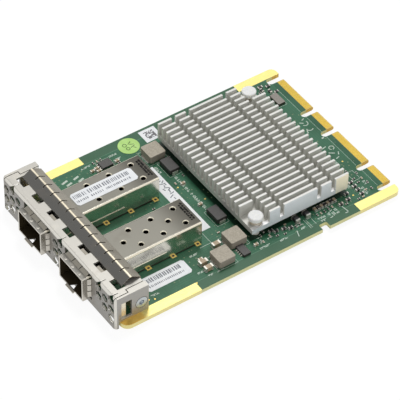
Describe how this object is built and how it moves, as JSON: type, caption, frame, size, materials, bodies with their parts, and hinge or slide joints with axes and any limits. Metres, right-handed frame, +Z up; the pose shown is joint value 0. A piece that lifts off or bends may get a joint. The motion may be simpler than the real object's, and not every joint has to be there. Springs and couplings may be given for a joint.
{
  "type": "mezzanine network card",
  "caption": "Network card with a folded front bracket, plug-in port cages, a finned heat sink on push pins and a tabbed edge connector.",
  "frame": {"origin": "middle of the card's outline on the plane of its lowest points, the bracket's lower lip and the push pins' tips", "axes": "+X across the card towards its right rail seen from the ports, +Y from the ports to the edge connector, +Z up from the board's component side"},
  "size_m": [0.076, 0.1208, 0.0166],
  "materials": {
    "board_laminate": "satin solder mask",
    "gold_plate": "bright plating",
    "bracket_steel": "satin plated sheet",
    "strip_steel": "satin spring sheet",
    "cage_steel": "satin plated sheet",
    "collar_steel": "bright spring sheet",
    "socket_plastic": "matte moulding",
    "sink_aluminium": "milled",
    "pin_nylon": "matte moulding",
    "spring_wire": "drawn wire",
    "package_laminate": "satin",
    "lid_metal": "satin",
    "thermal_compound": "matte",
    "screw_steel": "satin",
    "block_brass": "machined",
    "inductor_body": "matte moulding",
    "tin": "tinned",
    "chip_plastic": "matte moulding",
    "chip_ceramic": "matte",
    "resistor_ceramic": "matte",
    "label_white": "matte",
    "label_lime": "matte"
  },
  "bodies": {
    "root": {"block_capacitor_terminals": "tin", "board_label": "label_white", "cage_label": "label_white", "cage_pin_pads": "gold_plate", "chip_capacitors": "chip_ceramic", "chip_ends": "tin", "chip_legs": "tin", "chip_resistors": "resistor_ceramic", "circuit_board": "board_laminate", "clock_chip": "chip_plastic", "code_label": "label_white", "controller_lid": "lid_metal", "controller_package": "package_laminate", "edge_contacts_top": "gold_plate", "edge_contacts_underside": "gold_plate", "flash_chip": "chip_plastic", "front_bracket": "bracket_steel", "heat_sink": "sink_aluminium", "inductor_terminals": "tin", "left_block_capacitor": "chip_plastic", "left_bracket_screw": "screw_steel", "left_fixing_block": "block_brass", "left_front_rail_pad": "gold_plate", "left_host_connector": "socket_plastic", "left_host_contacts": "gold_plate", "left_port_cage": "cage_steel", "left_port_collar": "collar_steel", "left_power_inductor": "inductor_body", "left_push_pin": "pin_nylon", "left_push_pin_spring": "spring_wire", "left_rear_rail_pad": "gold_plate", "left_side_spring": "collar_steel", "middle_power_inductor": "inductor_body", "regulator_chip": "chip_plastic", "right_block_capacitor": "chip_plastic", "right_bracket_screw": "screw_steel", "right_fixing_block": "block_brass", "right_front_rail_pad": "gold_plate", "right_host_connector": "socket_plastic", "right_host_contacts": "gold_plate", "right_port_cage": "cage_steel", "right_port_collar": "collar_steel", "right_power_inductor": "inductor_body", "right_push_pin": "pin_nylon", "right_push_pin_spring": "spring_wire", "right_rear_rail_pad": "gold_plate", "right_side_spring": "collar_steel", "round_sticker": "label_lime", "side_label": "label_white", "thermal_pad": "thermal_compound", "top_finger_strip": "strip_steel", "underside_chip_capacitors": "chip_ceramic", "underside_chip_ends": "tin"}
  },
  "joints": []
}
